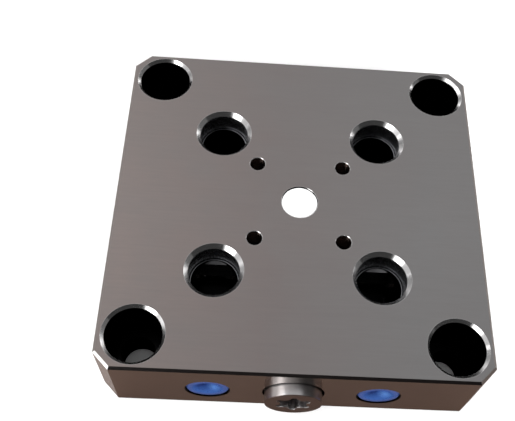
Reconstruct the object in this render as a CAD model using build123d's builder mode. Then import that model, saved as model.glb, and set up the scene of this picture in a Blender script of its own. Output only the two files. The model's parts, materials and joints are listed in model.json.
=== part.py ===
import os
from build123d import *

os.makedirs("parts", exist_ok=True)

# Plate
plate_side = 118.0
plate_height = 27.0
corner_chamfer = 5.0
top_edge_chamfer = 0.8
bottom_edge_chamfer = 0.6
half_side = plate_side / 2

# Stud bores
stud_pitch = 52.0
stud_bore_radius = 8.0
stud_step_radius = 7.5
stud_step_depth = 7.8
stud_bore_depth = 22.0
stud_mouth_chamfer = 1.28
stud_offset = stud_pitch / 2

# Corner fixing bores
corner_pitch = 96.0
corner_head_radius = 8.5
corner_head_depth = 16.5
corner_shank_radius = 5.5
corner_mouth_chamfer = 0.95
corner_foot_chamfer = 0.6

# Small threaded holes
small_circle_radius = 20.0
small_hole_radius = 2.5
small_hole_depth = 7.0
small_mouth_chamfer = 0.15
small_hole_count = 4

# Centre bore and its cap
cap_bore_radius = 5.9
cap_bore_chamfer = 0.1
centre_bore_radius = 5.0
centre_bore_chamfer = 0.4
boss_radius = 7.5
cap_sink = 0.5
cap_thickness = 3.0
cap_rim_chamfer = 0.2
cap_hollow_radius = 4.2
cap_hollow_depth = 1.6

# Drive axis, shared by the spindle and the clamping pins
axis_height = 12.2
running_gap = 0.02
slide_gap = 0.3
clamp_travel = 2.25

# Pin bores and clamping pins
pin_bore_radius = 6.5
pin_open_reach = 0.7
pin_nose_rise = 5.1
pin_nose_drop = 2.7
pin_body_length = 9.8
pin_neck_radius = 3.5
pin_neck_length = 2.0
pin_flange_radius = 5.9
pin_flange_length = 2.0
pin_flange_width = 9.6
pin_radius = pin_bore_radius - running_gap
full_pin_height = 2 * pin_bore_radius
bore_wall = stud_offset - stud_step_radius
nose_y = bore_wall + pin_open_reach
pin_tail_y = nose_y - pin_body_length

# Pin seals, rings of square section
seal_groove_front = 3.5
seal_groove_length = 1.7
seal_groove_radius = 7.7
seal_width = 1.4
seal_gap = 0.05
seal_start = bore_wall - seal_groove_front

# Pin bore plugs
plug_length = 6.0
plug_sink = 0.3
plug_edge_chamfer = 0.5
plug_mouth_chamfer = 0.35
plug_cone_radius = 4.7
plug_cone_depth = 1.5
plug_cone_tip = 0.4
plug_back_radius = 4.4
plug_back_depth = 3.0

# Mechanism levels
cover_seal_wall = 0.3
cover_drop = 0.2
slide_floor_gap = 0.2
block_rise = 6.8
neck_rise = 5.1
hub_rise = 7.9
cover_recess_depth = axis_height - seal_groove_radius - cover_seal_wall
slide_floor = cover_recess_depth + slide_floor_gap
slide_top = axis_height + block_rise
neck_top = axis_height + neck_rise
hub_top = axis_height + hub_rise
wide_ceiling = slide_top + slide_gap
neck_ceiling = neck_top + slide_gap
hub_ceiling = hub_top + slide_gap

# Spindle sizes that the slides are built around
spindle_shank_radius = 6.0
spindle_neck_radius = 3.9
spindle_collar_radius = 5.5
spindle_collar_length = 2.2

# Front slide and rear yoke, laid out from the boss outwards
arm_gap = 0.5
arm_width = 4.0
boss_clearance = 0.45
bridge_thickness = 8.5
bridge_gap = 0.5
hub_length = 11.8
hub_wall = 4.2
hub_corner_chamfer = 1.0
slide_neck_width = 3.3
crossbar_thickness = 6.0
crossbar_overlap = 1.0
block_margin = 6.6
block_thickness = 6.8
hook_gap = 0.1
arm_inner_x = boss_radius + arm_gap
arm_outer_x = arm_inner_x + arm_width
block_inner_x = arm_outer_x + arm_gap
block_outer_x = stud_offset + block_margin
slide_neck_outer_x = block_inner_x + slide_neck_width
bridge_back = -(boss_radius + clamp_travel + boss_clearance)
bridge_front = bridge_back - bridge_thickness
hub_back = bridge_front - bridge_gap
hub_front = hub_back - hub_length
hub_half_width = spindle_shank_radius + hub_wall
crossbar_front = boss_radius + arm_gap
crossbar_back = crossbar_front + crossbar_thickness
block_end = pin_tail_y
block_start = block_end - block_thickness

# Thrust joint between spindle and yoke
thrust_lip = 2.2
thrust_slot = 3.4
disc_thickness = 1.0

# Pocket in the underside of the plate
pocket_side_gap = 0.1
pocket_end_gap = 0.4
pocket_half_width = block_outer_x + slide_gap + pocket_side_gap
pocket_half_depth = block_end + clamp_travel + slide_gap
pocket_centre_half_width = slide_neck_outer_x + slide_gap
pocket_front = hub_front - clamp_travel - slide_gap
pocket_back = crossbar_back + clamp_travel + slide_gap + pocket_end_gap

# Spindle bore, guide bush and spindle head
spindle_head_radius = 8.75
spindle_protrusion = 3.5
spindle_head_chamfer = 0.15
spindle_head_gap = 0.15
spindle_bore_radius = 9.5
spindle_bore_gap = 0.5
spindle_passage_radius = 6.6
spindle_end_gap = 0.25
lobe_outer_radius = 5.67
lobe_inner_radius = 3.95
lobe_tip_radius = 1.13
lobe_hollow_radius = 1.9
lobe_count = 6
socket_depth = 9.0
ring_groove_start = 12.6
ring_groove_length = 2.2
ring_groove_radius = 7.1
ring_width = 1.8
bush_sink = 4.8
bush_edge_chamfer = 0.25

# Cover plate, laid out around the pocket and the spindle bore
cover_side_ledge = 9.5
cover_tongue_ledge = 1.5
cover_front_ledge = 2.15
cover_rear_ledge = 8.65
cover_bore_gap = 1.0
cover_ear_gap = 0.7
cover_ear_length = 8.9
cover_ear_overlap = 1.0
cover_gap = 0.15
cover_main_half_width = pocket_half_width + cover_side_ledge
cover_main_half_depth = bore_wall - cover_bore_gap
cover_tongue_half_width = pocket_centre_half_width + cover_tongue_ledge
cover_front = pocket_front - cover_front_ledge
cover_rear = pocket_back + cover_rear_ledge
cover_ear_inner_x = spindle_bore_radius + cover_ear_gap
cover_ear_front = cover_front - cover_ear_length

# Countersunk screws of the cover plate
screw_shank_radius = 2.0
screw_hole_radius = 2.2
screw_tap_radius = 2.05
screw_head_radius = 3.9
screw_length = 10.0
screw_hole_length = 11.5
screw_key_radius = 1.45
screw_key_depth = 1.4
screw_sink = 0.15
screw_head_gap = 0.05
screw_edge = 4.7
screw_ear_inner = 5.6
screw_ear_outer = 5.7
screw_ear_rear = 4.5
screw_rear_ledge = 4.25
cover_screw_side_x = cover_main_half_width - screw_edge
cover_screw_side_y = 10.5
cover_screw_front_x = cover_ear_inner_x + screw_ear_inner
cover_screw_front_y = cover_front - screw_ear_rear
cover_screw_rear_x = 12.0
cover_screw_rear_y = pocket_back + screw_rear_ledge
cover_ear_half_width = cover_screw_front_x + screw_ear_outer

stud_centres = [
    (side * stud_offset, end * stud_offset) for side in (-1, 1) for end in (-1, 1)
]
corner_centres = [
    (side * corner_pitch / 2, end * corner_pitch / 2) for side in (-1, 1) for end in (-1, 1)
]
cover_screw_centres = (
    [(side * cover_screw_side_x, end * cover_screw_side_y) for side in (-1, 1) for end in (-1, 1)]
    + [(side * cover_screw_front_x, cover_screw_front_y) for side in (-1, 1)]
    + [(side * cover_screw_rear_x, cover_screw_rear_y) for side in (-1, 1)]
)
spindle_front = -half_side - spindle_protrusion
spindle_bore_end = cover_front - spindle_bore_gap
spindle_head_end = spindle_bore_end - clamp_travel - spindle_head_gap

# Base plate
with BuildPart() as base_plate:
    with BuildSketch():
        Rectangle(plate_side, plate_side)
        chamfer(vertices(), length=corner_chamfer)
    extrude(amount=plate_height)
    chamfer(faces().sort_by(Axis.Z)[-1].edges(), length=top_edge_chamfer)
    chamfer(faces().sort_by(Axis.Z)[0].edges(), length=bottom_edge_chamfer)

    # Recess for the cover plate
    with BuildSketch():
        Rectangle(2 * cover_main_half_width, 2 * cover_main_half_depth)
        with Locations((0, (cover_front + cover_rear) / 2)):
            Rectangle(2 * cover_tongue_half_width, cover_rear - cover_front)
        for side in (-1, 1):
            ear_middle = side * (cover_ear_half_width + cover_ear_inner_x) / 2
            with Locations((ear_middle, (cover_front + cover_ear_overlap + cover_ear_front) / 2)):
                Rectangle(
                    cover_ear_half_width - cover_ear_inner_x,
                    cover_front + cover_ear_overlap - cover_ear_front,
                )
    extrude(amount=cover_recess_depth, mode=Mode.SUBTRACT)

    # Pocket for the two slides
    with BuildSketch(Plane.XY.offset(cover_recess_depth)):
        Rectangle(2 * pocket_half_width, 2 * pocket_half_depth)
    extrude(amount=wide_ceiling - cover_recess_depth, mode=Mode.SUBTRACT)
    with BuildSketch(Plane.XY.offset(cover_recess_depth)):
        with Locations((0, (pocket_front + pocket_back) / 2)):
            Rectangle(2 * pocket_centre_half_width, pocket_back - pocket_front)
    extrude(amount=neck_ceiling - cover_recess_depth, mode=Mode.SUBTRACT)
    with BuildSketch(Plane.XY.offset(cover_recess_depth)):
        with Locations((0, pocket_front / 2)):
            Rectangle(2 * (hub_half_width + slide_gap), -pocket_front)
    extrude(amount=hub_ceiling - cover_recess_depth, mode=Mode.SUBTRACT)

    # Boss around the centre bore
    with BuildSketch():
        Circle(boss_radius)
    extrude(amount=plate_height / 2 + hub_ceiling / 2)

    # Pin bores with their seal grooves
    for side in (-1, 1):
        with BuildSketch(Plane.XZ.offset(half_side)):
            with Locations((side * stud_offset, axis_height)):
                Circle(pin_bore_radius)
        extrude(amount=-(half_side + stud_offset), mode=Mode.SUBTRACT)
        for groove_y in (-seal_start, seal_start - seal_groove_length):
            with BuildSketch(Plane.XZ.offset(-groove_y)):
                with Locations((side * stud_offset, axis_height)):
                    Circle(seal_groove_radius)
            extrude(amount=-seal_groove_length, mode=Mode.SUBTRACT)
        with BuildSketch(Plane.XZ.offset(half_side)):
            with Locations((side * stud_offset, axis_height)):
                Circle(pin_bore_radius + plug_mouth_chamfer)
        extrude(amount=-plug_mouth_chamfer, taper=45, mode=Mode.SUBTRACT)

    # Spindle bore
    with BuildSketch(Plane.XZ.offset(half_side)):
        with Locations((0, axis_height)):
            Circle(spindle_bore_radius)
    extrude(amount=-(half_side + spindle_bore_end), mode=Mode.SUBTRACT)
    with BuildSketch(Plane.XZ.offset(half_side)):
        with Locations((0, axis_height)):
            Circle(spindle_passage_radius)
    extrude(amount=-(half_side + pocket_front + slide_gap), mode=Mode.SUBTRACT)

    # Stud bores
    for centre in stud_centres:
        with Locations((centre[0], centre[1], plate_height)):
            Hole(stud_step_radius, depth=stud_bore_depth)
            Hole(stud_bore_radius, depth=stud_step_depth)
        with BuildSketch(Plane.XY.offset(plate_height)):
            with Locations(centre):
                Circle(stud_bore_radius + stud_mouth_chamfer)
        extrude(amount=-stud_mouth_chamfer, taper=45, mode=Mode.SUBTRACT)

    # Corner fixing bores
    for centre in corner_centres:
        with Locations((centre[0], centre[1], plate_height)):
            Hole(corner_shank_radius, depth=plate_height)
            Hole(corner_head_radius, depth=corner_head_depth)
        with BuildSketch(Plane.XY.offset(plate_height)):
            with Locations(centre):
                Circle(corner_head_radius + corner_mouth_chamfer)
        extrude(amount=-corner_mouth_chamfer, taper=45, mode=Mode.SUBTRACT)
        with BuildSketch():
            with Locations(centre):
                Circle(corner_shank_radius + corner_foot_chamfer)
        extrude(amount=corner_foot_chamfer, taper=45, mode=Mode.SUBTRACT)

    # Small threaded holes
    with PolarLocations(small_circle_radius, small_hole_count, start_angle=45):
        with Locations((0, 0, plate_height)):
            Hole(small_hole_radius, depth=small_hole_depth)
    with BuildSketch(Plane.XY.offset(plate_height)):
        with PolarLocations(small_circle_radius, small_hole_count, start_angle=45):
            Circle(small_hole_radius + small_mouth_chamfer)
    extrude(amount=-small_mouth_chamfer, taper=45, mode=Mode.SUBTRACT)

    # Centre bore
    with Locations((0, 0, plate_height)):
        Hole(centre_bore_radius, depth=plate_height)
        Hole(cap_bore_radius, depth=cap_sink + cap_thickness)
    for height, direction, radius, size in (
        (plate_height, -1, cap_bore_radius, cap_bore_chamfer),
        (0, 1, centre_bore_radius, centre_bore_chamfer),
    ):
        with BuildSketch(Plane.XY.offset(height)):
            Circle(radius + size)
        extrude(amount=direction * size, taper=45, mode=Mode.SUBTRACT)

    # Tapped holes for the cover screws
    with BuildSketch(Plane.XY.offset(cover_recess_depth)):
        with Locations(*cover_screw_centres):
            Circle(screw_tap_radius)
    extrude(amount=screw_hole_length - cover_recess_depth, mode=Mode.SUBTRACT)

# Cover plate
with BuildPart() as cover_plate:
    with BuildSketch(Plane.XY.offset(cover_drop)):
        Rectangle(2 * (cover_main_half_width - cover_gap), 2 * (cover_main_half_depth - cover_gap))
        with Locations((0, (cover_front + cover_rear) / 2)):
            Rectangle(
                2 * (cover_tongue_half_width - cover_gap), cover_rear - cover_front - 2 * cover_gap
            )
        for side in (-1, 1):
            ear_middle = side * (cover_ear_half_width + cover_ear_inner_x) / 2
            with Locations((ear_middle, (cover_front + cover_ear_overlap + cover_ear_front) / 2)):
                Rectangle(
                    cover_ear_half_width - cover_ear_inner_x - 2 * cover_gap,
                    cover_front + cover_ear_overlap - cover_ear_front - 2 * cover_gap,
                )
        Circle(boss_radius + cover_gap, mode=Mode.SUBTRACT)
        with Locations(*cover_screw_centres):
            Circle(screw_hole_radius, mode=Mode.SUBTRACT)
    extrude(amount=cover_recess_depth - cover_drop)
    for centre in cover_screw_centres:
        with BuildSketch(Plane.XY.offset(cover_drop)):
            with Locations(centre):
                Circle(screw_head_radius + screw_sink + screw_head_gap)
        extrude(
            amount=screw_head_radius + screw_sink + screw_head_gap - screw_hole_radius,
            taper=45,
            mode=Mode.SUBTRACT,
        )

# Front slide, which pulls the front pins towards the front face
with BuildPart() as front_slide:
    with BuildSketch(Plane.XY.offset(slide_floor)):
        with Locations((0, (hub_front + hub_back) / 2)):
            Rectangle(2 * slide_neck_outer_x, hub_back - hub_front)
        for side in (-1, 1):
            with Locations((side * (block_inner_x + slide_neck_outer_x) / 2, (hub_back - block_start) / 2)):
                Rectangle(slide_neck_outer_x - block_inner_x, -hub_back - block_start)
    extrude(amount=neck_top - slide_floor)
    with BuildSketch(Plane.XY.offset(slide_floor)):
        with Locations((0, (hub_front + hub_back) / 2)):
            Rectangle(2 * hub_half_width, hub_back - hub_front)
    extrude(amount=hub_top - slide_floor)
    with BuildSketch(Plane.XY.offset(slide_floor)):
        for side in (-1, 1):
            with Locations((side * (block_inner_x + block_outer_x) / 2, -(block_start + block_end) / 2)):
                Rectangle(block_outer_x - block_inner_x, block_thickness)
    extrude(amount=slide_top - slide_floor)
    chamfer(edges().filter_by(Axis.Z).group_by(Axis.Y)[0], length=hub_corner_chamfer)

    # Bore for the spindle thread
    with BuildSketch(Plane.XZ.offset(-hub_front)):
        with Locations((0, axis_height)):
            Circle(spindle_shank_radius + running_gap)
    extrude(amount=-(hub_back - hub_front), mode=Mode.SUBTRACT)

    # Hook slots for the front pins, open to the underside
    for side in (-1, 1):
        for start, length, radius, width in (
            (0, pin_neck_length, pin_neck_radius + hook_gap, 2 * (pin_neck_radius + hook_gap)),
            (
                pin_neck_length - hook_gap,
                pin_flange_length + 2 * hook_gap,
                pin_flange_radius + hook_gap,
                pin_flange_width + 2 * hook_gap,
            ),
        ):
            with BuildSketch(Plane.XZ.offset(block_end - start)):
                with Locations((side * stud_offset, axis_height)):
                    Circle(radius)
                    with Locations((0, -(axis_height - slide_floor) / 2)):
                        Rectangle(2 * radius, axis_height - slide_floor)
                with Locations((side * stud_offset, axis_height)):
                    Rectangle(width, full_pin_height + axis_height, mode=Mode.INTERSECT)
            extrude(amount=-length, mode=Mode.SUBTRACT)

# Rear yoke, which pushes the rear pins towards the rear face
with BuildPart() as rear_yoke:
    with BuildSketch(Plane.XY.offset(slide_floor)):
        for side in (-1, 1):
            with Locations((side * (arm_inner_x + arm_outer_x) / 2, (bridge_front + crossbar_back) / 2)):
                Rectangle(arm_outer_x - arm_inner_x, crossbar_back - bridge_front)
            link_middle = (block_end + crossbar_back - crossbar_overlap) / 2
            with Locations((side * (arm_inner_x + slide_neck_outer_x) / 2, link_middle)):
                Rectangle(slide_neck_outer_x - arm_inner_x, crossbar_back - block_end + crossbar_overlap)
        with Locations((0, (crossbar_front + crossbar_back) / 2)):
            Rectangle(2 * arm_outer_x, crossbar_back - crossbar_front)
        with Locations((0, (bridge_front + bridge_back) / 2)):
            Rectangle(2 * hub_half_width, bridge_back - bridge_front)
    extrude(amount=neck_top - slide_floor)
    with BuildSketch(Plane.XY.offset(slide_floor)):
        with Locations((0, (bridge_front + bridge_back) / 2)):
            Rectangle(2 * hub_half_width, bridge_back - bridge_front)
    extrude(amount=hub_top - slide_floor)
    with BuildSketch(Plane.XY.offset(slide_floor)):
        for side in (-1, 1):
            with Locations((side * (arm_inner_x + block_outer_x) / 2, (block_start + block_end) / 2)):
                Rectangle(block_outer_x - arm_inner_x, block_thickness)
    extrude(amount=slide_top - slide_floor)

    # Slot for the spindle collar and thrust disc, open to the underside
    for start, length, radius in (
        (bridge_front, thrust_lip, spindle_neck_radius + hook_gap),
        (bridge_front + thrust_lip, thrust_slot, spindle_collar_radius + hook_gap),
    ):
        with BuildSketch(Plane.XZ.offset(-start)):
            with Locations((0, axis_height)):
                Circle(radius)
                with Locations((0, -(axis_height - slide_floor) / 2)):
                    Rectangle(2 * radius, axis_height - slide_floor)
        extrude(amount=-length, mode=Mode.SUBTRACT)

    # Hook slots for the rear pins, open to the underside
    for side in (-1, 1):
        for start, length, radius, width in (
            (0, pin_neck_length, pin_neck_radius + hook_gap, 2 * (pin_neck_radius + hook_gap)),
            (
                pin_neck_length - hook_gap,
                pin_flange_length + 2 * hook_gap,
                pin_flange_radius + hook_gap,
                pin_flange_width + 2 * hook_gap,
            ),
        ):
            with BuildSketch(Plane.XZ.offset(-(block_end - start))):
                with Locations((side * stud_offset, axis_height)):
                    Circle(radius)
                    with Locations((0, -(axis_height - slide_floor) / 2)):
                        Rectangle(2 * radius, axis_height - slide_floor)
                with Locations((side * stud_offset, axis_height)):
                    Rectangle(width, full_pin_height + axis_height, mode=Mode.INTERSECT)
            extrude(amount=length, mode=Mode.SUBTRACT)

# Clamping pins, one for each stud bore
for side, side_name in ((-1, "left"), (1, "right")):
    for end, end_name in ((-1, "front"), (1, "rear")):
        with BuildPart() as clamping_pin:
            for start, stop, radius in (
                (nose_y, pin_tail_y, pin_radius),
                (pin_tail_y, pin_tail_y - pin_neck_length, pin_neck_radius),
            ):
                with BuildSketch(Plane.XZ.offset(-end * start)):
                    with Locations((side * stud_offset, axis_height)):
                        Circle(radius)
                extrude(amount=end * (start - stop))
            flange_y = pin_tail_y - pin_neck_length
            with BuildSketch(Plane.XZ.offset(-end * flange_y)):
                with Locations((side * stud_offset, axis_height)):
                    Circle(pin_flange_radius)
                    Rectangle(pin_flange_width, full_pin_height, mode=Mode.INTERSECT)
            extrude(amount=end * pin_flange_length)

            # Wedge faces above and below the nose
            with BuildSketch(Plane.YZ.offset(side * stud_offset - pin_bore_radius)):
                with BuildLine():
                    rise = full_pin_height - pin_nose_rise
                    Polyline(
                        (end * nose_y, axis_height + pin_nose_rise),
                        (end * (nose_y - rise), axis_height + full_pin_height),
                        (end * nose_y, axis_height + full_pin_height),
                        close=True,
                    )
                make_face()
                with BuildLine():
                    drop = full_pin_height - pin_nose_drop
                    Polyline(
                        (end * nose_y, axis_height - pin_nose_drop),
                        (end * (nose_y - drop), axis_height - full_pin_height),
                        (end * nose_y, axis_height - full_pin_height),
                        close=True,
                    )
                make_face()
            extrude(amount=full_pin_height, mode=Mode.SUBTRACT)
        clamping_pin.part.label = f"clamping_pin_{end_name}_{side_name}"
        export_step(clamping_pin.part, f"parts/clamping_pin_{end_name}_{side_name}.step")

        with BuildPart() as pin_seal:
            seal_y = end * (seal_start - (seal_groove_length - seal_width) / 2)
            with BuildSketch(Plane.XZ.offset(-seal_y)):
                with Locations((side * stud_offset, axis_height)):
                    Circle(seal_groove_radius)
                    Circle(pin_bore_radius + seal_gap, mode=Mode.SUBTRACT)
            extrude(amount=end * seal_width)
        pin_seal.part.label = f"pin_seal_{end_name}_{side_name}"
        export_step(pin_seal.part, f"parts/pin_seal_{end_name}_{side_name}.step")

# Plugs that close the pin bores in the front face
for side, side_name in ((-1, "left"), (1, "right")):
    with BuildPart() as bore_plug:
        with BuildSketch(Plane.XZ.offset(half_side - plug_sink)):
            with Locations((side * stud_offset, axis_height)):
                Circle(pin_bore_radius)
        extrude(amount=-plug_length)
        chamfer(edges().group_by(Axis.Y)[0], length=plug_edge_chamfer)
        cone_y = -half_side + plug_sink + plug_cone_depth / 2
        with Locations(Location((side * stud_offset, cone_y, axis_height), (-90, 0, 0))):
            Cone(plug_cone_radius, plug_cone_tip, plug_cone_depth, mode=Mode.SUBTRACT)
        with BuildSketch(Plane.XZ.offset(half_side - plug_sink - plug_length)):
            with Locations((side * stud_offset, axis_height)):
                Circle(plug_back_radius)
        extrude(amount=plug_back_depth, mode=Mode.SUBTRACT)
    bore_plug.part.label = f"bore_plug_{side_name}"
    export_step(bore_plug.part, f"parts/bore_plug_{side_name}.step")

# Drive spindle
collar_start = bridge_front + thrust_lip + hook_gap
spindle_steps = (
    (spindle_front, spindle_head_end, spindle_head_radius),
    (spindle_head_end, bridge_front - spindle_end_gap, spindle_shank_radius),
    (bridge_front - spindle_end_gap, collar_start, spindle_neck_radius),
    (collar_start, collar_start + spindle_collar_length, spindle_collar_radius),
)
with BuildPart() as drive_spindle:
    for start, stop, radius in spindle_steps:
        with BuildSketch(Plane.XZ.offset(-start)):
            with Locations((0, axis_height)):
                Circle(radius)
        extrude(amount=-(stop - start))
    chamfer(edges().group_by(Axis.Y)[0], length=spindle_head_chamfer)

    # Groove for the sealing ring
    with BuildSketch(Plane.XZ.offset(-(spindle_front + ring_groove_start))):
        with Locations((0, axis_height)):
            Circle(spindle_head_radius)
            Circle(ring_groove_radius, mode=Mode.SUBTRACT)
    extrude(amount=-ring_groove_length, mode=Mode.SUBTRACT)

    # Six-lobe socket with one lobe upwards
    with BuildSketch(Plane.XZ.offset(-spindle_front)):
        with Locations((0, axis_height)):
            Circle((lobe_outer_radius + lobe_inner_radius) / 2)
            with PolarLocations(lobe_outer_radius - lobe_tip_radius, lobe_count, start_angle=90):
                Circle(lobe_tip_radius)
            with PolarLocations(lobe_inner_radius + lobe_hollow_radius, lobe_count, start_angle=60):
                Circle(lobe_hollow_radius, mode=Mode.SUBTRACT)
    extrude(amount=-socket_depth, mode=Mode.SUBTRACT)

# Sealing ring in the spindle groove
with BuildPart() as spindle_seal:
    ring_y = spindle_front + ring_groove_start + (ring_groove_length - ring_width) / 2
    with BuildSketch(Plane.XZ.offset(-ring_y)):
        with Locations((0, axis_height)):
            Circle(spindle_head_radius)
            Circle(ring_groove_radius, mode=Mode.SUBTRACT)
    extrude(amount=-ring_width)

# Guide bush for the spindle head
with BuildPart() as spindle_bush:
    with BuildSketch(Plane.XZ.offset(-spindle_bore_end)):
        with Locations((0, axis_height)):
            Circle(spindle_bore_radius)
            Circle(spindle_head_radius + running_gap, mode=Mode.SUBTRACT)
    extrude(amount=half_side - bush_sink + spindle_bore_end)
    chamfer(edges().group_by(Axis.Y)[0].sort_by(SortBy.LENGTH)[-1], length=bush_edge_chamfer)

# Thrust disc between the spindle collar and the yoke
with BuildPart() as thrust_disc:
    with BuildSketch(Plane.XZ.offset(-(bridge_front + thrust_lip + thrust_slot - disc_thickness))):
        with Locations((0, axis_height)):
            Circle(spindle_collar_radius)
    extrude(amount=-disc_thickness)

# Cap in the centre bore
with BuildPart() as centre_cap:
    with BuildSketch(Plane.XY.offset(plate_height - cap_sink)):
        Circle(cap_bore_radius)
    extrude(amount=-cap_thickness)
    chamfer(edges().group_by(Axis.Z)[-1], length=cap_rim_chamfer)
    with BuildSketch(Plane.XY.offset(plate_height - cap_sink - cap_thickness)):
        Circle(cap_hollow_radius)
    extrude(amount=cap_hollow_depth, mode=Mode.SUBTRACT)

# Countersunk screws that hold the cover plate
with BuildPart() as cover_screws:
    head_plane = cover_drop + screw_sink
    for centre in cover_screw_centres:
        with BuildSketch(Plane.XY.offset(head_plane)):
            with Locations(centre):
                Circle(screw_head_radius)
        extrude(amount=screw_head_radius - screw_shank_radius, taper=45)
        with BuildSketch(Plane.XY.offset(head_plane)):
            with Locations(centre):
                Circle(screw_shank_radius)
        extrude(amount=screw_length)
        with BuildSketch(Plane.XY.offset(head_plane)):
            with Locations(centre):
                RegularPolygon(screw_key_radius, 6)
        extrude(amount=screw_key_depth, mode=Mode.SUBTRACT)

for part, name in (
    (base_plate, "base_plate"),
    (cover_plate, "cover_plate"),
    (cover_screws, "cover_screws"),
    (front_slide, "front_slide"),
    (rear_yoke, "rear_yoke"),
    (drive_spindle, "drive_spindle"),
    (spindle_seal, "spindle_seal"),
    (spindle_bush, "spindle_bush"),
    (thrust_disc, "thrust_disc"),
    (centre_cap, "centre_cap"),
):
    part.part.label = name
    export_step(part.part, f"parts/{name}.step")
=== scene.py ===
import json
import math
from types import SimpleNamespace

import bmesh
import bpy
from mathutils import Matrix, Vector


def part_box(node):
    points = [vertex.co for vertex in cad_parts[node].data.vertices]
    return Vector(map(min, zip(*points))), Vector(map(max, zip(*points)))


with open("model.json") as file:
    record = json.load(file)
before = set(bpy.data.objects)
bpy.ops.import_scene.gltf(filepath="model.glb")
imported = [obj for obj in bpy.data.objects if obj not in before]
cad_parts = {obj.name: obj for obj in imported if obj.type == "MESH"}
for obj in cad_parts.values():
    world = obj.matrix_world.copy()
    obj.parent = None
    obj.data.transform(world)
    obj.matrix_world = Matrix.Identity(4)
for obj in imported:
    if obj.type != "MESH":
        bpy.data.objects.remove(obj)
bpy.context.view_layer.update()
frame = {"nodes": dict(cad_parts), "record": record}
mounts = {mount["name"]: mount for mount in frame["record"]["mounts"]}

# A millimetre in the frame's unit, the metre
MM = 0.001

# Sizes that the frame gives
PLATE_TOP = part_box("base_plate")[1][2]
HEAD_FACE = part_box("drive_spindle")[0][1]
CAP_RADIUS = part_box("centre_cap")[1][0]
AXIS_HEIGHT = mounts["drive_socket"]["pos_m"][2]
STUD_OFFSET = mounts["stud_bore_rear_right"]["pos_m"][0]
STUD_RADIUS = mounts["stud_bore_rear_right"]["dims"]["r_mm"] * MM
CORNER_OFFSET = mounts["corner_bolts"]["dims"]["spacing_x_mm"] / 2 * MM
SMALL_OFFSET = mounts["top_threads"]["dims"]["pcd_mm"] / 2 / math.sqrt(2) * MM
SMALL_RADIUS = mounts["top_threads"]["dims"]["hole_r_mm"] * MM
PLUG_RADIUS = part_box("bore_plug_right")[1][0] - STUD_OFFSET

# Sizes in the bores and the socket that the frame leaves out
CORNER_RADIUS = 8.5 * MM
STEP_DEPTH = 7.8 * MM
STEP_RADIUS = 7.5 * MM
THREAD_PITCH = 1.0 * MM
THREAD_DEPTH = 0.25 * MM
# The wall round each blue plug in the front face is painted dark as a shadow ring, out to this radius and
# in front of this depth
SEAT_RADIUS = PLUG_RADIUS + 0.9 * MM
SEAT_END = -50 * MM
SOCKET_REACH = 6.2 * MM
SOCKET_MOUTH = 0.35 * MM

# Bores seen from above: distance of their axes from the middle in X and in Y, radius and chamfer
BORES = {
    "stud": (STUD_OFFSET, STUD_RADIUS, 1.28 * MM),
    "corner": (CORNER_OFFSET, CORNER_RADIUS, 0.95 * MM),
    "small": (SMALL_OFFSET, SMALL_RADIUS, 0.15 * MM),
    "cap": (0.0, CAP_RADIUS, 0.1 * MM),
}

# How far the finish of a bore's wall, chamfer, step and collar goes past or stays off its edge
WALL_MARGIN = 0.03 * MM
CHAMFER_MARGIN = 0.02 * MM
STEP_MARGIN = 0.05 * MM
STEP_INNER = 0.1 * MM
STEP_OUTER = 0.15 * MM
COLLAR_MARGIN = 0.1 * MM
UNDERSIDE_EDGE = 0.4 * MM

# Half widths of the changes between two finishes
SHARP = 0.00002
SOFT = 0.05
SOFTER = 0.1

# Slant of a face: how much its normal points up or down, how much it faces a side more than an end
UPRIGHT = 0.3
STEEP = 0.5
LEVEL = 0.9
TRULY_LEVEL = 0.98
BEVEL_SLANTS = (0.75, 0.95)
DIAGONAL = 0.3
FACING_END = 0.85
END_FACE = 0.3

# Bands of the top in which its tone changes: painted reflection that turns warmer towards the left,
# painted light at the left end, painted shade towards the rear
WARM_REFLECTION_BAND = (-15 * MM, 40 * MM)
WARM_REFLECTION_DRIFT = 50 * MM
LEFT_LIGHT_BAND = (-55 * MM, -8 * MM)
REAR_SHADE_BAND = (-10 * MM, 59 * MM)

# Stretches of a noise's values over which a finish changes
MIDDLE = (0.3, 0.7)
NARROW = (0.35, 0.65)
UPPER = (0.35, 0.7)
SPOTS = (0.4, 0.7)

# How strongly the top's and the sides' second tones lie over their first, where they are fullest
# Of the top's shares, the left one is painted light and the rear one painted shade
TOP_LEFT_LIGHT_SHARE = 0.8
TOP_LIGHT_SHARE = 0.35
TOP_REAR_SHADE_SHARE = 0.45
TOP_GRAIN_SHARES = (0.08, 0.26)
SIDE_PATCH_SHARE = 0.4
MARKS_SHARE = 0.1

# How far the gloss of ground and turned steel spreads across its marks, and in which directions
GLOSS_SPREAD = 0.6
QUARTER_TURN = 0.25
UPWARDS = (0.0, 0.0, 1.0)
REARWARDS = (0.0, 1.0, 0.0)

# Tones of the plate, linear
# Painted reflection: the top turns warmer towards the left
TOP_WARM_REFLECTION = (0.187, 0.160, 0.156)
TOP_COOL = (0.182, 0.179, 0.180)
TOP_LIGHT = (0.190, 0.179, 0.177)
# Painted light: the top's left end is lighter
TOP_LEFT_LIGHT = (0.245, 0.203, 0.190)
# Darker tone for the top's grain and for the painted shade towards its rear
TOP_GRAIN_AND_REAR_SHADE = (0.146, 0.137, 0.135)
SIDE_LIGHT = (0.52, 0.49, 0.47)
SIDE_DARK = (0.46, 0.43, 0.41)
# Painted highlight: the upright corner cuts are light
CUT_HIGHLIGHT_TONE = (0.64, 0.61, 0.60)
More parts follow.
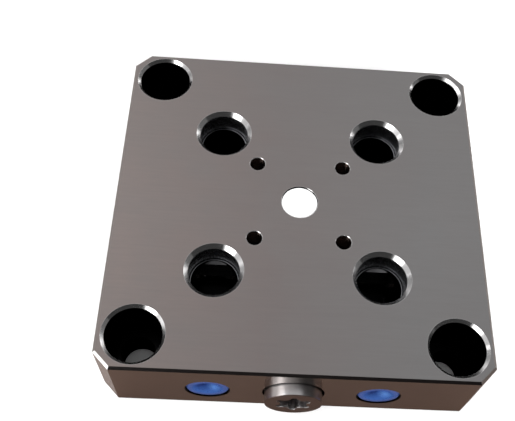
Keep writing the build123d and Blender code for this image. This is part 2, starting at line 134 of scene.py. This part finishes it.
# Painted light and shade on the top's edge bevels: lighter on the sides, painted shade at the front and
# rear, a painted highlight at the corners
BEVEL_SIDE_PAINTED_LIGHT = (0.30, 0.28, 0.27)
BEVEL_END_SHADE = (0.11, 0.10, 0.10)
BEVEL_CORNER_HIGHLIGHT = (0.85, 0.83, 0.82)
CHAMFER_TONE = (0.78, 0.77, 0.77)
# Painted shade: the bores' walls and the plugs' seats are near-black, and the threads' walls get a lighter
# brown painted shade
BORE_SHADE_TONE = (0.010, 0.010, 0.011)
THREAD_SHADE_TONE = (0.15, 0.112, 0.098)
COLLAR_TONE = (0.42, 0.42, 0.44)
# Painted highlight: a thin bright line at the inner edge of the stud bores' step
STEP_EDGE_HIGHLIGHT = (0.50, 0.52, 0.54)
GLANCE = (0.90, 0.88, 0.87)
# Painted shade on the gloss in the bare bores
BORE_SHADE_GLANCE = (0.16, 0.16, 0.17)

# Roughness of the plate's surfaces, least and most, and how metallic its cuts and its top are
TOP_ROUGH = (0.30, 0.36)
SIDE_ROUGH = (0.13, 0.19)
CHAMFER_ROUGH = (0.13, 0.19)
BORE_ROUGH = (0.16, 0.24)
COLLAR_ROUGH = (0.22, 0.28)
CUT_METALLIC = 0.72
TOP_METALLIC = 0.7

# Tones of the spindle and the pins, with their end faces painted darker as shade, and the roughness of the
# socket's worn mouth, which is also painted bright as a glint
SPINDLE_TONE = (0.58, 0.56, 0.565)
# Painted shade: the spindle's end face is darker
SPINDLE_END_SHADE = (0.33, 0.29, 0.28)
# Socket mouth: wear, with a painted glint in its bright tone
WORN_GLINT_TONE = (0.95, 0.94, 0.94)
WORN_ROUGH = 0.5
PIN_TONE = (0.30, 0.30, 0.30)
# Painted shade: the pins' end faces are darker
PIN_END_SHADE = (0.20, 0.20, 0.20)

# Tones of the other steel
COVER_TONE = (0.24, 0.23, 0.22)
SCREW_TONE = (0.05, 0.05, 0.052)
SLIDE_TONE = (0.36, 0.36, 0.36)

# Tones of the blue plugs, with a painted highlight and painted shade, and the places of these spots off
# the axis
BLUE = (0.046, 0.130, 0.440)
# Painted highlight and painted shade on each plug's cone
BLUE_PAINTED_HIGHLIGHT = (0.170, 0.400, 0.950)
BLUE_PAINTED_SHADE = (0.005, 0.020, 0.130)
BLUE_RIM = (0.105, 0.130, 0.330)
BLUE_CLOUD = (0.040, 0.120, 0.440)
BLUE_MARKS = (0.16, 0.30, 0.72)
BLUE_GLANCE = (0.20, 0.32, 0.70)
HIGHLIGHT_SPOT = (1.7 * MM, 0.0)
SHADE_SPOT = (-1.2 * MM, 0.4 * MM)
SPOT_SQUASH = 0.8
# Reaches of the painted highlight and the painted shade, and of the rim
HIGHLIGHT_REACH = (0.4 * MM, 2.6 * MM)
SHADE_REACH = (1.0 * MM, 3.6 * MM)
RIM_REACH = (4.2 * MM, 5.4 * MM)

# Tones of the plastic, the rubber and the bronze
WHITE = (0.94, 0.94, 0.93)
WHITE_DULL = (0.90, 0.90, 0.90)
BLACK = (0.012, 0.012, 0.012)
BLACK_BLOOM = (0.028, 0.027, 0.026)
BRONZE = (0.52, 0.33, 0.14)
BRONZE_TARNISH = (0.36, 0.22, 0.10)

# The floor: its two paper tones, its tones in the steel's reflection and where these change
FLOOR_HALF = 6.0
FLOOR_GAP = 0.05 * MM
PAPER = (0.93, 0.93, 0.93)
PAPER_GRAIN = (0.95, 0.95, 0.95)
MIRRORED = (0.134, 0.090, 0.072)
MIRRORED_LEFT = (0.50, 0.47, 0.46)
MIRRORED_FAR = (0.90, 0.89, 0.88)
FLOOR_LEFT_BAND = (-0.14, -0.07)
FLOOR_RIGHT_BAND = (0.11, 0.22)
FLOOR_FRONT_BAND = (-0.06, -0.02)

# Strength of the room, of its even fill on matt surfaces and of the pane seen in reflections
ROOM = 1.1
FILL = 0.22
PANE = 4.5
PANE_AIM = (-0.68, -0.63, 0.38)
PANE_EDGE = (0.93, 0.985)
FRONT_AIM = (0.5, -0.8, 0.0)
FRONT_EDGE = (0.15, 0.45)

# Parts of the room by direction. A part is the product of its steps, and each step names an axis of
# the direction, the band in which it changes, and its value below and above that band.
FRONT_SHADE = (("x", 0.0, 0.8, 0.96, 0.87),)
FRONT_RIGHT_SHADE = (("y", -0.25, -0.1, 0.96, 0.0),)
RIGHT_SHADE = (("x", 0.35, 0.65, 0.0, 1.0), ("z", 0.06, 0.16, 0.0, 0.87))
REAR_LEFT_SHADE = (("x", -0.7, -0.35, 1.0, 0.0), ("y", 0.05, 0.35, 0.0, 0.65), ("z", 0.2, 0.45, 1.0, 0.0))
LEFT_SHADE = (
    ("x", -0.75, -0.5, 1.0, 0.0),
    ("y", -0.5, -0.3, 0.0, 0.62),
    ("z", 0.12, 0.22, 0.0, 1.0),
    ("z", 0.4, 0.6, 1.0, 0.0),
)
ZENITH = (("z", 0.62, 0.99, 1.0, 0.62),)
LEFT_GLOW = (("x", -0.85, -0.55, 1.0, 0.0), ("y", 0.05, 0.35, 0.3, 0.0), ("z", 0.55, 0.75, 1.0, 0.0))
REAR_RIGHT_GLOW = (("x", 0.35, 0.65, 0.0, 1.0), ("y", -0.1, 0.2, 0.0, 1.0), ("z", 0.06, 0.16, 1.0, 0.0))

# Lamps: the window's place, size and power, and the daylight's course, strength and spread
WINDOW_PLACE = Vector((-0.66, 0.42, 0.62))
WINDOW_SIZE = (0.8, 0.55)
WINDOW_POWER = 2.2
DAYLIGHT_COURSE = Vector((-0.25, 0.80, -0.55))
DAYLIGHT_STRENGTH = 4.4
DAYLIGHT_SPREAD = math.radians(40)

# Camera, fitted to the photograph, with its lens and sensor in millimetres
CAMERA_PLACE = Vector((-14.932, -132.282, 236.808)) * MM
CAMERA_TARGET = Vector((-3.666, -14.485, 27.0)) * MM
CAMERA_ROLL = math.radians(7.643)
CAMERA_LENS = 53.554
CAMERA_SENSOR = 36
CAMERA_SHIFT = 0.05825
CAMERA_NEAR = 0.01

# Sockets of a Mix node by the kind of value: first, second and result
MIX_SOCKETS = {"FLOAT": (2, 3, 0), "VECTOR": (4, 5, 1), "RGBA": (6, 7, 2)}


class Nodes:
    """A node tree, with short names for the nodes that the finishes and the room share."""

    def __init__(self, tree):
        self.tree = tree

    def add(self, kind, **settings):
        node = self.tree.nodes.new("ShaderNode" + kind)
        for name, value in settings.items():
            setattr(node, name, value)
        return node

    def put(self, socket, value):
        """Links the socket to value, or sets it where value is a number, a colour or a direction."""
        if isinstance(value, bpy.types.NodeSocket):
            self.tree.links.new(value, socket)
        elif socket.type == "RGBA":
            socket.default_value = (*value, 1.0)
        else:
            socket.default_value = value

    def fill(self, sockets, values):
        for socket, value in zip(sockets, values):
            self.put(socket, value)

    def math(self, operation, *values):
        node = self.add("Math", operation=operation)
        self.fill(node.inputs, values)
        return node.outputs[0]

    def chain(self, operation, first, *others):
        for other in others:
            first = self.math(operation, first, other)
        return first

    def product(self, *values):
        return self.chain("MULTIPLY", *values)

    def total(self, *values):
        return self.chain("ADD", *values)

    def largest(self, *values):
        return self.chain("MAXIMUM", *values)

    def minus(self, value, taken):
        return self.math("SUBTRACT", value, taken)

    def unsigned(self, value):
        return self.math("ABSOLUTE", value)

    def split(self, vector):
        node = self.add("SeparateXYZ")
        self.put(node.inputs[0], vector)
        return node.outputs

    def ramp(self, value, low, high, out_low, out_high, course="LINEAR"):
        """Goes from out_low to out_high while value goes from low to high."""
        node = self.add("MapRange", interpolation_type=course)
        self.fill(node.inputs, (value, low, high, out_low, out_high))
        return node.outputs[0]

    def mixed(self, kind, factor, first, second):
        node = self.add("Mix", data_type=kind)
        at_first, at_second, result = MIX_SOCKETS[kind]
        sockets = (node.inputs[0], node.inputs[at_first], node.inputs[at_second])
        self.fill(sockets, (factor, first, second))
        return node.outputs[result]


class Shader(Nodes):
    """A material's node tree, with the masks, noises and marks that the finishes share."""

    def __init__(self, name):
        self.material = bpy.data.materials.new(name)
        self.material.use_nodes = True
        super().__init__(self.material.node_tree)
        self.surface = self.tree.nodes["Principled BSDF"]
        self.coordinates = self.add("TexCoord")

    def place(self):
        return self.split(self.coordinates.outputs["Object"])

    def facing(self):
        return self.split(self.coordinates.outputs["Normal"])

    def distance(self, first, second):
        squares = self.total(self.product(first, first), self.product(second, second))
        return self.math("SQRT", squares)

    def from_drive_axis(self):
        x, _, z = self.place()
        return self.distance(x, self.minus(z, AXIS_HEIGHT))

    def below(self, value, limit, soft=SHARP):
        """1 where value is under limit, 0 above, over a short step."""
        return self.ramp(value, limit - soft, limit + soft, 1.0, 0.0)

    def above(self, value, limit, soft=SHARP):
        return self.ramp(value, limit - soft, limit + soft, 0.0, 1.0)

    def mix(self, factor, first, second):
        """Colour between first and second."""
        return self.mixed("RGBA", factor, first, second)

    def blend(self, factor, first, second):
        """Number between first and second."""
        return self.mixed("FLOAT", factor, first, second)

    def noise(self, scale, stretch=(1, 1, 1), detail=3.0, roughness=0.55):
        mapping = self.add("Mapping")
        self.put(mapping.inputs["Vector"], self.coordinates.outputs["Object"])
        self.put(mapping.inputs["Scale"], stretch)
        node = self.add("TexNoise")
        sockets = (node.inputs[name] for name in ("Vector", "Scale", "Detail", "Roughness"))
        self.fill(sockets, (mapping.outputs[0], scale, detail, roughness))
        return node.outputs["Fac"]

    def spread(self, noise, low, high, band=MIDDLE):
        """Number from low to high that follows a noise."""
        return self.ramp(noise, *band, low, high)

    def wave(self, value, pitch):
        """A smooth 0 to 1 wave along value."""
        turn = self.product(value, 2 * math.pi / pitch)
        return self.math("MULTIPLY_ADD", self.math("SINE", turn), 0.5, 0.5)

    def bump(self, height, depth, normal=None):
        node = self.add("Bump")
        self.put(node.inputs["Distance"], depth)
        self.put(node.inputs["Height"], height)
        if normal is not None:
            self.put(node.inputs["Normal"], normal)
        return node.outputs[0]

    def lay_along(self, factor, first, second):
        """Spreads the gloss along first, or along second where factor is 1."""
        self.put(self.surface.inputs["Tangent"], self.mixed("VECTOR", factor, first, second))
        self.put(self.surface.inputs["Anisotropic"], GLOSS_SPREAD)

    def lay_round(self, axis):
        """Turning marks round an axis: the gloss spreads across them."""
        node = self.add("Tangent", direction_type="RADIAL", axis=axis)
        self.put(self.surface.inputs["Tangent"], node.outputs[0])
        self.put(self.surface.inputs["Anisotropic"], GLOSS_SPREAD)
        self.put(self.surface.inputs["Anisotropic Rotation"], QUARTER_TURN)

    def finish(self, color, roughness, metallic, normal):
        names = ("Base Color", "Roughness", "Metallic", "Normal")
        self.fill((self.surface.inputs[name] for name in names), (color, roughness, metallic, normal))
        return self.material


def darker(tone, share):
    return tuple(share * part for part in tone)


def bore_masks(s):
    """Masks of the bores with the plugs' seats, where the plate is painted near-black as shade, and of
    their chamfers, steps, collars and threads.
    """
    x, y, z = s.place()
    ax, ay = s.unsigned(x), s.unsigned(y)
    reaches, walls, chamfers = {}, {}, {}
    for name, (offset, radius, chamfer) in BORES.items():
        reaches[name] = s.distance(s.minus(ax, offset), s.minus(ay, offset))
        walls[name] = s.below(reaches[name], radius + WALL_MARGIN)
        chamfers[name] = s.below(reaches[name], radius + chamfer + CHAMFER_MARGIN)
    raised = s.above(z, UNDERSIDE_EDGE)
    seat_reach = s.distance(s.minus(ax, STUD_OFFSET), s.minus(z, AXIS_HEIGHT))
    seat_wall = s.below(s.unsigned(s.facing()[1]), FACING_END, SOFT)
    # The seat round each blue plug is painted dark with the bores, as a shadow ring
    seat = s.product(s.below(seat_reach, SEAT_RADIUS), seat_wall, s.below(y, SEAT_END))
    step_height = PLATE_TOP - STEP_DEPTH
    # A thin ring at the step's inner edge, where a highlight is painted
    step_disc = s.below(reaches["stud"], STEP_RADIUS + STEP_OUTER)
    step_ring = s.product(step_disc, s.above(reaches["stud"], STEP_RADIUS - STEP_INNER))
    at_step = s.below(s.unsigned(s.minus(z, step_height)), STEP_MARGIN)
    return SimpleNamespace(
        bore=s.largest(s.product(s.largest(*walls.values()), raised), seat),
        chamfer=s.product(s.largest(*chamfers.values()), raised),
        step=s.product(step_ring, at_step),
        collar=s.product(walls["stud"], s.above(z, step_height + COLLAR_MARGIN)),
        tapped=walls["small"],
    )


def face_masks(s, bores):
    """Masks of the plate's flat faces, their bevels and the corner cuts."""
    nx, ny, nz = s.facing()
    lie = s.unsigned(nz)
    lean = s.minus(s.unsigned(nx), s.unsigned(ny))
    open_face = s.minus(1.0, bores.chamfer)
    side = s.product(s.below(lie, UPRIGHT, SOFT), open_face)
    corner = s.below(s.unsigned(lean), DIAGONAL)
    return SimpleNamespace(
        side=side,
        corner=corner,
        cut=s.product(side, corner),
        end=s.below(lean, -DIAGONAL),
        bevel=s.product(s.ramp(lie, *BEVEL_SLANTS, 1.0, 0.0), s.above(lie, UPRIGHT, SOFT)),
        level=s.above(lie, LEVEL),
        top=s.product(s.above(lie, TRULY_LEVEL), open_face),
        thread=s.product(bores.tapped, s.below(lie, STEEP, SOFTER)),
    )


def top_tone(s, noises):
    x, y, _ = s.place()
    drift = s.product(s.minus(noises.cloud, 0.5), WARM_REFLECTION_DRIFT)
    # Painted reflection: warmer towards the left, along a noisy edge
    tone = s.mix(s.ramp(s.total(x, drift), *WARM_REFLECTION_BAND, 1.0, 0.0), TOP_COOL, TOP_WARM_REFLECTION)
    # Painted light at the top's left end
    tone = s.mix(s.ramp(x, *LEFT_LIGHT_BAND, TOP_LEFT_LIGHT_SHARE, 0.0), tone, TOP_LEFT_LIGHT)
    tone = s.mix(s.spread(noises.patch, 0.0, TOP_LIGHT_SHARE, NARROW), tone, TOP_LIGHT)
    tone = s.mix(s.spread(noises.grain, *TOP_GRAIN_SHARES), tone, TOP_GRAIN_AND_REAR_SHADE)
    # Painted shade towards the rear
    return s.mix(s.ramp(y, *REAR_SHADE_BAND, 0.0, TOP_REAR_SHADE_SHARE), tone, TOP_GRAIN_AND_REAR_SHADE)


def side_tone(s, noises):
    tone = s.mix(s.spread(noises.cloud, 0.0, 1.0, NARROW), SIDE_LIGHT, SIDE_DARK)
    return s.mix(s.spread(noises.patch, 0.0, SIDE_PATCH_SHARE, SPOTS), tone, SIDE_DARK)


def plate_tone(s, faces, bores, noises):
    # Painted light and shade on the edge bevels, by the way each faces
    bevel = s.mix(faces.corner, s.mix(faces.end, BEVEL_SIDE_PAINTED_LIGHT, BEVEL_END_SHADE), BEVEL_CORNER_HIGHLIGHT)
    # Painted shade in the bores, lighter brown on the threads' walls
    wall = s.mix(bores.collar, s.mix(faces.thread, BORE_SHADE_TONE, THREAD_SHADE_TONE), COLLAR_TONE)
    tone = s.mix(faces.side, top_tone(s, noises), side_tone(s, noises))
    # Painted highlight on the corner cuts
    tone = s.mix(faces.cut, tone, CUT_HIGHLIGHT_TONE)
    tone = s.mix(faces.bevel, tone, bevel)
    tone = s.mix(bores.chamfer, tone, CHAMFER_TONE)
    # Painted shade in the bores and the plugs' seats
    tone = s.mix(bores.bore, tone, wall)
    # Painted highlight at the edge of the stud bores' step
    return s.mix(bores.step, tone, STEP_EDGE_HIGHLIGHT)


def plate_roughness(s, faces, bores, noises):
    rough = s.spread(noises.grain, *TOP_ROUGH)
    rough = s.blend(faces.side, rough, s.spread(noises.patch, *SIDE_ROUGH))
    rough = s.blend(bores.chamfer, rough, s.spread(noises.speck, *CHAMFER_ROUGH))
    rough = s.blend(bores.bore, rough, s.spread(noises.speck, *BORE_ROUGH))
    return s.blend(bores.collar, rough, s.spread(noises.speck, *COLLAR_ROUGH))


def plate_relief(s, bores, noises):
    """Grinding marks, and the thread in the small bores."""
    texture = s.total(s.product(noises.scratch, 0.6), s.product(noises.speck, 0.4))
    threads = s.product(s.wave(s.place()[2], THREAD_PITCH), bores.tapped)
    return s.bump(threads, THREAD_DEPTH, s.bump(texture, depth=0.0006 * MM))


def plate_material():
    """Fine ground steel plate: sides that show brown where they mirror the floor, bores and plug seats
    painted near-black as shade, bright turned chamfers, and painted light and shade on the top, its edge
    bevels, its corner cuts and its bores' steps.
    """
    s = Shader("ground_plate_steel")
    noises = SimpleNamespace(
        cloud=s.noise(scale=18, detail=4),
        patch=s.noise(scale=70),
        grain=s.noise(scale=1500, stretch=(0.06, 1, 1), roughness=0.6),
        scratch=s.noise(scale=2600, stretch=(0.03, 1, 0.4), detail=2),
        speck=s.noise(scale=4200, detail=2, roughness=0.7),
    )
    bores = bore_masks(s)
    faces = face_masks(s, bores)
    bare_bore = s.product(bores.bore, s.minus(1.0, s.largest(bores.tapped, bores.step, bores.collar)))
    # Painted shade on the gloss in the bare bores
    s.put(s.surface.inputs["Specular Tint"], s.mix(bare_bore, GLANCE, BORE_SHADE_GLANCE))
    s.lay_along(faces.level, UPWARDS, REARWARDS)
    return s.finish(
        plate_tone(s, faces, bores, noises),
        plate_roughness(s, faces, bores, noises),
        s.blend(faces.top, s.blend(faces.cut, 1.0, CUT_METALLIC), TOP_METALLIC),
        plate_relief(s, bores, noises),
    )


def turned_steel(name, tone, end_shade_tone, roughness, pitch):
    """Steel turned on a lathe about the drive axis, with feed marks, end faces painted darker as shade,
    and a worn socket mouth that is also painted bright as a glint.
    """
    s = Shader(name)
    y = s.place()[1]
    end = s.above(s.unsigned(s.facing()[1]), END_FACE, SOFTER)
    reach = s.from_drive_axis()
    marks = s.blend(end, s.wave(y, pitch), s.wave(reach, pitch))
    cloud = s.noise(scale=90)
    fine = s.noise(scale=900, stretch=(1, 0.3, 1), detail=2)
    # The socket's worn mouth, also painted bright as a glint
    worn_glint = s.product(s.below(y, HEAD_FACE + SOCKET_MOUTH), s.below(reach, SOCKET_REACH), s.minus(1.0, end))
    color = s.mix(s.spread(cloud, 0.0, 0.6), tone, darker(tone, 0.85))
    color = s.mix(s.product(marks, MARKS_SHARE), color, darker(tone, 0.8))
    # Painted shade: end faces darker than the turned sides
    color = s.mix(end, color, end_shade_tone)
    color = s.mix(worn_glint, color, WORN_GLINT_TONE)
    rough = s.blend(worn_glint, s.spread(cloud, roughness - 0.02, roughness + 0.02), WORN_ROUGH)
    s.lay_round("Y")
    return s.finish(color, rough, metallic=1.0, normal=s.bump(fine, depth=0.0001 * MM))


def milled_steel(name, tone, roughness):
    """Milled steel with faint cutter arcs and an oily sheen."""
    s = Shader(name)
    x, y, _ = s.place()
    cloud = s.noise(scale=90, detail=4)
    fine = s.noise(scale=2400, stretch=(1, 0.15, 1))
    arcs = s.wave(s.distance(s.total(x, 30 * MM), s.total(y, 80 * MM)), pitch=0.5 * MM)
    color = s.mix(s.spread(cloud, 0.0, 1.0), tone, darker(tone, 0.75))
    rough = s.spread(cloud, roughness - 0.05, roughness + 0.06)
    texture = s.total(s.product(arcs, 0.5), s.product(fine, 0.5))
    return s.finish(color, rough, metallic=1.0, normal=s.bump(texture, depth=0.003 * MM))


def blue_anodised():
    """Blue anodised aluminium with a turned cone, a painted highlight to one side of its axis, painted
    shade in its depth, and greyer on its rim.
    """
    s = Shader("blue_anodised")
    x, _, z = s.place()
    across = s.minus(x, s.product(s.math("SIGN", x), STUD_OFFSET))
    height = s.minus(z, AXIS_HEIGHT)

    def spot(place):
        return s.distance(s.minus(across, place[0]), s.product(s.minus(height, place[1]), SPOT_SQUASH))

    reach = s.distance(across, height)
    marks = s.wave(reach, pitch=0.3 * MM)
    fine = s.noise(scale=2400, detail=2)
    # Painted highlight on one side of the cone
    color = s.mix(s.ramp(spot(HIGHLIGHT_SPOT), *HIGHLIGHT_REACH, 0.9, 0.0), BLUE, BLUE_PAINTED_HIGHLIGHT)
    # Painted shade in the cone's depth
    color = s.mix(s.ramp(spot(SHADE_SPOT), *SHADE_REACH, 1.0, 0.0), color, BLUE_PAINTED_SHADE)
    color = s.mix(s.ramp(reach, *RIM_REACH, 0.0, 0.8), color, BLUE_RIM)
    color = s.mix(s.spread(s.noise(scale=260, detail=4), 0.0, 0.3), color, BLUE_CLOUD)
    color = s.mix(s.product(marks, MARKS_SHARE), color, BLUE_MARKS)
    s.put(s.surface.inputs["Specular Tint"], BLUE_GLANCE)
    rough = s.spread(fine, 0.26, 0.34)
    relief = s.total(marks, s.product(fine, 0.3))
    return s.finish(color, rough, metallic=0.6, normal=s.bump(relief, depth=0.0005 * MM))


def white_plastic():
    """White moulded plastic with a faint spark-eroded grain."""
    s = Shader("white_plastic")
    grain = s.noise(scale=3000, detail=2)
    color = s.mix(s.spread(s.noise(scale=200), 0.0, 1.0), WHITE, WHITE_DULL)
    rough = s.spread(grain, 0.45, 0.6)
    return s.finish(color, rough, metallic=0.0, normal=s.bump(grain, depth=0.006 * MM))


def black_rubber():
    """Black sealing rubber with mould bloom."""
    s = Shader("black_rubber")
    grain = s.noise(scale=2800, detail=2)
    color = s.mix(s.spread(s.noise(scale=260, detail=4), 0.0, 1.0, UPPER), BLACK, BLACK_BLOOM)
    rough = s.spread(grain, 0.5, 0.7)
    return s.finish(color, rough, metallic=0.0, normal=s.bump(grain, depth=0.01 * MM))


def bronze():
    """Bearing bronze, turned, with darker tarnish in patches."""
    s = Shader("bearing_bronze")
    cloud = s.noise(scale=240, detail=5)
    marks = s.wave(s.from_drive_axis(), pitch=0.3 * MM)
    color = s.mix(s.spread(cloud, 0.0, 1.0, UPPER), BRONZE, BRONZE_TARNISH)
    rough = s.spread(cloud, 0.3, 0.42)
    return s.finish(color, rough, metallic=1.0, normal=s.bump(marks, depth=0.004 * MM))


def floor_material():
    """Plain pale paper with a fine grain. In the steel's reflection it is brown near the plate."""
    s = Shader("pale_floor")
    x, y, _ = s.place()
    grain = s.noise(scale=400)
    far = s.product(s.ramp(x, *FLOOR_RIGHT_BAND, 0.0, 1.0), s.ramp(y, *FLOOR_FRONT_BAND, 0.0, 1.0))
    reflected = s.mix(s.ramp(x, *FLOOR_LEFT_BAND, 1.0, 0.0), MIRRORED, MIRRORED_LEFT)
    reflected = s.mix(far, reflected, MIRRORED_FAR)
    in_reflection = s.add("LightPath").outputs["Is Glossy Ray"]
    color = s.mix(in_reflection, s.mix(grain, PAPER, PAPER_GRAIN), reflected)
    return s.finish(color, roughness=0.9, metallic=0.0, normal=s.bump(grain, depth=0.02 * MM))


def dress(material, *nodes):
    for name in nodes:
        for slot in frame["nodes"][name].material_slots:
            slot.material = material


def make_floor():
    mesh = bpy.data.meshes.new("floor")
    build = bmesh.new()
    bmesh.ops.create_grid(build, x_segments=1, y_segments=1, size=FLOOR_HALF)
    build.to_mesh(mesh)
    build.free()
    floor = bpy.data.objects.new("floor", mesh)
    floor.location.z = -FLOOR_GAP
    mesh.materials.append(floor_material())
    bpy.context.collection.objects.link(floor)


def room_strength(s, direction, path):
    """Pale room with a dim front, right and zenith, so that bright metal shows its edges."""

    def part(steps):
        axes = dict(zip("xyz", direction))
        return s.product(*(s.ramp(axes[axis], *band, course="SMOOTHSTEP") for axis, *band in steps))

    def towards(aim, edge, value):
        along = s.total(*(s.product(axis, share) for axis, share in zip(direction, aim)))
        return s.ramp(along, *edge, 0.0, value, course="SMOOTHSTEP")

    front = s.largest(part(FRONT_SHADE), part(FRONT_RIGHT_SHADE))
    shade = s.product(front, towards(FRONT_AIM, FRONT_EDGE, 1.0))
    shade = s.largest(shade, part(RIGHT_SHADE), part(REAR_LEFT_SHADE))
    room = s.product(s.minus(1.0, shade), s.minus(1.0, part(LEFT_SHADE)), part(ZENITH))
    pane = s.product(towards(PANE_AIM, PANE_EDGE, PANE), path["Is Glossy Ray"])
    glow = s.total(part(LEFT_GLOW), part(REAR_RIGHT_GLOW), pane, 1.0)
    fill = s.product(path["Is Diffuse Ray"], FILL)
    return s.largest(s.total(s.product(room, glow, ROOM), fill), path["Is Camera Ray"])


def make_room():
    world = bpy.data.worlds.new("studio")
    bpy.context.scene.world = world
    world.use_nodes = True
    s = Nodes(world.node_tree)
    background = s.tree.nodes["Background"]
    direction = s.split(s.add("TexCoord").outputs["Generated"])
    s.put(background.inputs["Strength"], room_strength(s, direction, s.add("LightPath").outputs))
    s.put(background.inputs["Color"], (1.0, 1.0, 1.0))


def place_lamp(lamp, place, course):
    holder = bpy.data.objects.new(lamp.name, lamp)
    holder.location = place
    holder.rotation_euler = course.to_track_quat("-Z", "Y").to_euler()
    bpy.context.collection.objects.link(holder)
    return holder


def make_window():
    lamp = bpy.data.lights.new("window", "AREA")
    lamp.shape = "RECTANGLE"
    lamp.size, lamp.size_y = WINDOW_SIZE
    lamp.energy = WINDOW_POWER
    place_lamp(lamp, WINDOW_PLACE, -WINDOW_PLACE)


def make_daylight():
    """Soft daylight that the steel doesn't mirror."""
    lamp = bpy.data.lights.new("daylight", "SUN")
    lamp.energy = DAYLIGHT_STRENGTH
    lamp.angle = DAYLIGHT_SPREAD
    place_lamp(lamp, (0.0, 0.0, 0.0), DAYLIGHT_COURSE).visible_glossy = False


def make_camera():
    lens = bpy.data.cameras.new("camera")
    lens.lens = CAMERA_LENS
    lens.sensor_width = CAMERA_SENSOR
    lens.shift_x = -CAMERA_SHIFT
    lens.shift_y = CAMERA_SHIFT
    lens.clip_start = CAMERA_NEAR
    camera = bpy.data.objects.new("camera", lens)
    turn = (CAMERA_TARGET - CAMERA_PLACE).to_track_quat("-Z", "Y").to_matrix().to_4x4()
    roll = Matrix.Rotation(CAMERA_ROLL, 4, "Z")
    camera.matrix_world = Matrix.Translation(CAMERA_PLACE) @ turn @ roll
    bpy.context.collection.objects.link(camera)
    bpy.context.scene.camera = camera


make_camera()
make_floor()
make_room()
make_window()
make_daylight()
bpy.context.scene.view_settings.view_transform = "Standard"

spindle_steel = turned_steel("spindle_steel", SPINDLE_TONE, SPINDLE_END_SHADE, roughness=0.31, pitch=0.2 * MM)
pin_steel = turned_steel("pin_steel", PIN_TONE, PIN_END_SHADE, roughness=0.22, pitch=0.25 * MM)
corners = ("front_left", "front_right", "rear_left", "rear_right")

dress(plate_material(), "base_plate")
dress(milled_steel("cover_steel", COVER_TONE, roughness=0.36), "cover_plate")
dress(milled_steel("blackened_screws", SCREW_TONE, roughness=0.34), "cover_screws")
dress(milled_steel("slide_steel", SLIDE_TONE, roughness=0.34), "front_slide", "rear_yoke")
dress(spindle_steel, "drive_spindle")
dress(pin_steel, *(f"clamping_pin_{corner}" for corner in corners))
dress(blue_anodised(), "bore_plug_left", "bore_plug_right")
dress(white_plastic(), "centre_cap")
dress(bronze(), "spindle_bush", "thrust_disc")
dress(black_rubber(), "spindle_seal", *(f"pin_seal_{corner}" for corner in corners))
